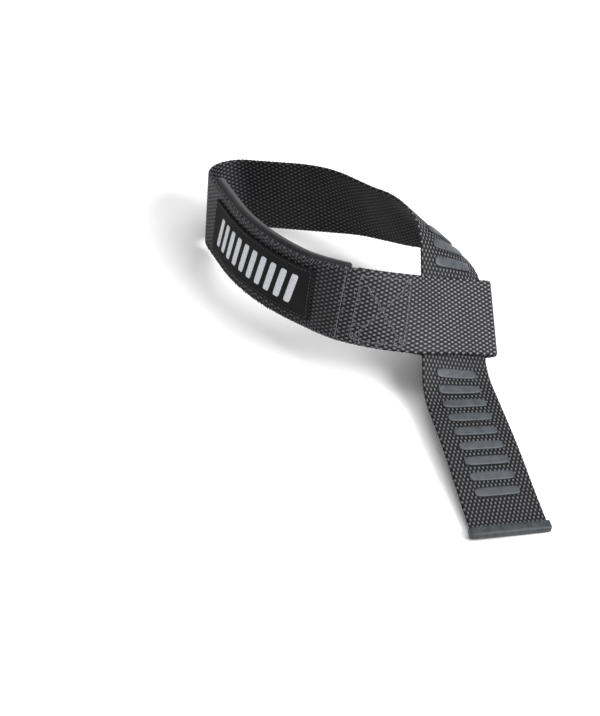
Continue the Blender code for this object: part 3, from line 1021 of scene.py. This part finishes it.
box_corners, box_lines = sides_of(BOX_FIRST, BOX_LAST, BOX_HALF)
cross_lines = [(box_corners[0], box_corners[2]), (box_corners[1], box_corners[3])]
pad_end_line = [((PAD_STITCH, -PAD_STITCH_HALF), (PAD_STITCH, PAD_STITCH_HALF))]
seam("box_stitching", box_lines, BOX_PITCH, 0.86, FACE, GREY_THREAD, "webbing", arch=0.8)
seam("cross_stitching", cross_lines, BOX_PITCH, 0.86, FACE, GREY_THREAD, "webbing", arch=0.8)
seam("pad_end_stitching", pad_end_line, PAD_STITCH_PITCH, 0.86, FACE, GREY_THREAD, "webbing", arch=0.8)

label_lines = sides_of(
    LABEL_FIRST + LABEL_SEAM_INSET, LABEL_LAST - LABEL_SEAM_INSET, LABEL_HEIGHT / 2 - LABEL_SEAM_INSET
)[1]
groove_floor = LABEL_TOP - LABEL_SEAM_DEPTH
seam("label_stitching", label_lines, LABEL_PITCH, 0.8, groove_floor, DARK_THREAD, "label", arch=0.9)

# %% [markdown]
# ## Whipped edges and frayed ends
# Both edges of the front band are whipped to the pad with slanting stitches, and the sewn end is a
# little frayed. Neither is even on the real strap, so each stitch gets its own small turn and step
# from a seeded random generator, which gives the same strap on every run.

# %% Uneven stitches
WHIP_PITCH = 1.5 * MM
WHIP_LENGTH = 2.6 * MM
WHIP_INSET = 1.3 * MM
WHIP_RADIUS = 0.2 * MM
WHIP_SLANT = 1.05
WHIP_STEP = 0.25 * MM
WHIP_DRIFT = 0.15 * MM
WHIP_TURN = 0.22
FRAYS_PER_LINE = 34
FRAY_LENGTH = 2.0 * MM
FRAY_SPREAD = 0.9 * MM
FRAY_RADIUS = 0.11 * MM
FRAY_SEAT = FACE + 0.1 * MM


def whipped_edges():
    """Slanted stitches along both edges of the webbing, as long as the pad is."""
    random = np.random.default_rng(7)
    count = int(PAD_LENGTH / WHIP_PITCH)
    t = np.tile(PAD_FIRST + PAD_LENGTH * (np.arange(count) + 0.5) / count, 2)
    side = np.repeat([-1.0, 1.0], count)
    t = t + random.normal(0.0, WHIP_STEP, t.size)
    v = side * (HALF_WIDTH - WHIP_INSET + random.normal(0.0, WHIP_DRIFT, t.size))
    angle = side * (WHIP_SLANT + random.normal(0.0, WHIP_TURN, t.size))
    thread = {"radius": WHIP_RADIUS, "arch": 0.9}
    stitches("whipped_edges", t, v, angle, WHIP_LENGTH, FACE, WHIP_THREAD, "webbing", **thread)


def frayed_threads():
    """Loose thread ends strewn along the sewn zone's lines."""
    random = np.random.default_rng(11)
    lines = np.array([box_lines[0], box_lines[1], box_lines[3], *cross_lines, *pad_end_line])
    share = random.uniform(0.02, 0.98, (len(lines), FRAYS_PER_LINE, 1))
    place = lines[:, None, 0] + share * (lines[:, None, 1] - lines[:, None, 0])
    t, v = (place + random.normal(0.0, FRAY_SPREAD, place.shape)).reshape(-1, 2).T
    angle = random.uniform(0.0, math.pi, t.size)
    thread = {"radius": FRAY_RADIUS, "arch": 2.0}
    stitches("frayed_threads", t, v, angle, FRAY_LENGTH, FRAY_SEAT, GREY_THREAD, "webbing", **thread)


whipped_edges()
frayed_threads()

# %% [markdown]
# ## Camera
# The camera looks along +Y and down, from a metre away with a long lens, so near and far parts keep
# nearly the same size. The picture is rolled a little, because the strap lies here as it rests by
# itself on a flat floor.

# %% Camera
AIM = np.array([-33.6, -24.0, 24.2]) * MM
ELEVATION = 42.3
CAMERA_ROLL = 5.6
DISTANCE = 1.05
LENS = 109.1


def camera():
    """Moved out along its sight line from the aim, tipped by the elevation, then rolled."""
    data = bpy.data.cameras.new("camera")
    data.lens = LENS
    obj = bpy.data.objects.new("camera", data)
    bpy.context.scene.collection.objects.link(obj)
    down = math.radians(ELEVATION)
    place = AIM + DISTANCE * np.array([0.0, -math.cos(down), math.sin(down)])
    tilt = Matrix.Rotation(math.pi / 2 - down, 4, "X")
    roll = Matrix.Rotation(math.radians(CAMERA_ROLL), 4, "Z")
    obj.matrix_world = Matrix.Translation(place) @ tilt @ roll
    bpy.context.scene.camera = obj


camera()
print("camera at", [round(x, 3) for x in bpy.context.scene.camera.matrix_world.translation])

# %% [markdown]
# ## Light and floor
# Dark cloth shows its weave only when light rakes over it. A large soft box from the right and above
# does that, a wide one overhead fills the top, and a weak one from the left keeps the far side from
# going black. The floor is a plain pale sheet.

# %% Soft boxes, floor and surroundings
LIGHTS_AIM = np.array([0.0, 0.0, 0.03])
FLOOR_REACH = 6.0
FLOOR_TONE = 0.90
WORLD_STRENGTH = 0.3


def softbox(name, place, size, power):
    """A square area light that faces the strap."""
    data = bpy.data.lights.new(name, "AREA")
    data.energy, data.size = power, size
    obj = bpy.data.objects.new(name, data)
    bpy.context.scene.collection.objects.link(obj)
    towards = LIGHTS_AIM - np.array(place)
    obj.location = place
    obj.rotation_euler = (
        math.acos(-towards[2] / np.linalg.norm(towards)),
        0.0,
        math.atan2(towards[1], towards[0]) - math.pi / 2,
    )


def floor():
    """One square at height zero."""
    material, tree, shader = new_material("pale_floor", roughness=0.9, specular=0.2)
    shader.inputs["Base Color"].default_value = (FLOOR_TONE, FLOOR_TONE, FLOOR_TONE, 1.0)
    mesh = bpy.data.meshes.new("floor")
    r = FLOOR_REACH
    mesh.from_pydata([(-r, -r, 0), (r, -r, 0), (r, r, 0), (-r, r, 0)], [], [(0, 1, 2, 3)])
    mesh.materials.append(material)
    obj = bpy.data.objects.new("floor", mesh)
    bpy.context.scene.collection.objects.link(obj)


softbox("key", (1.0, -0.55, 0.95), 0.8, 34.0)
softbox("top", (0.1, 0.2, 1.4), 1.2, 14.0)
softbox("left", (-1.1, -0.2, 0.7), 0.8, 3.0)
floor()
world = bpy.data.worlds.new("studio")
world.use_nodes = True
background = world.node_tree.nodes["Background"]
background.inputs["Color"].default_value = (1.0, 1.0, 1.0, 1.0)
background.inputs["Strength"].default_value = WORLD_STRENGTH
bpy.context.scene.world = world
bpy.context.scene.view_settings.view_transform = "Standard"
